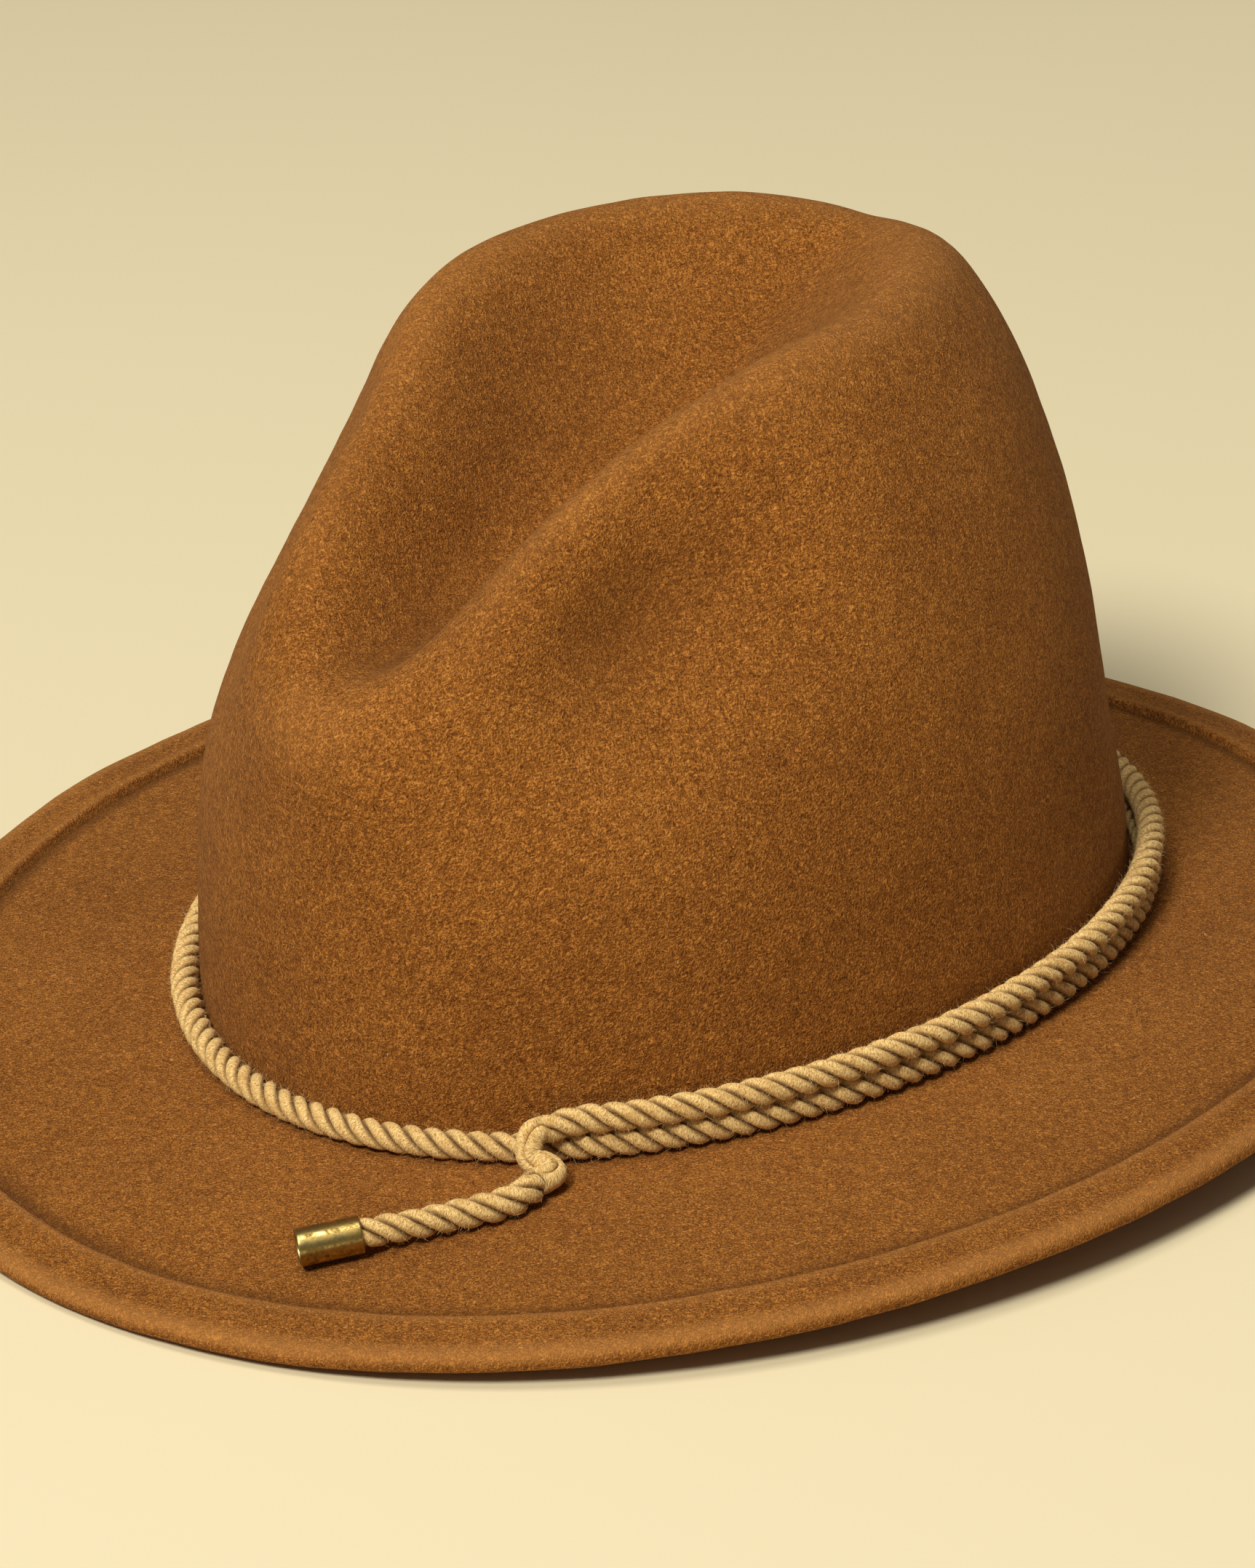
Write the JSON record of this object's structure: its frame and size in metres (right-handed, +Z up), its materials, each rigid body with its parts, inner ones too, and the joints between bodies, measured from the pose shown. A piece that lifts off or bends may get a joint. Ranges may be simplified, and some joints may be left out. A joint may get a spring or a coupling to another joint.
{
  "type": "cowboy hat",
  "caption": "Wide-brimmed felt hat with a creased teardrop crown, folded brim edge, leather sweatband and a knotted rope band whose loose end carries a brass ferrule.",
  "frame": {"origin": "under the middle of the brim, on the level surface that the brim's front and back edges rest on", "axes": "+Z up through the crown; -Y is the hat's front, where the crown is pinched; +X is the wearer's left, the side that the knot is on"},
  "size_m": [0.3046, 0.3308, 0.1466],
  "materials": {
    "felt": "matte napped wool felt, pecan brown",
    "leather": "semi-matte brown sweatband leather",
    "reed": "off-white extruded plastic",
    "tape": "dark brown woven cotton tape",
    "thread": "dark brown sewing thread",
    "bow": "same leather as the sweatband",
    "rope": "tan three-strand laid rope, hairy",
    "ferrule": "antique brass, dark patina with worn bright edges"
  },
  "bodies": {
    "hat": {"felt_body": "felt", "sweatband": "leather", "sweatband_reed": "reed", "reed_tape": "tape", "sweatband_thread": "thread", "sweatband_bow": "bow"},
    "band": {"rope_band": "rope", "knot": "rope"},
    "tail": {"tail": "rope", "ferrule": "ferrule"}
  },
  "joints": [
    {"name": "band_lift", "type": "slide", "parent": "hat", "child": "band", "axis": [0, 0, 1], "range_m": [0, 0.16]},
    {"name": "tail_swing", "type": "hinge", "parent": "band", "child": "tail", "pos_m": [0.0569, -0.09649, 0.01263], "axis": [0.0054, -0.0704, 0.9975], "range_deg": [-30, 20]}
  ]
}
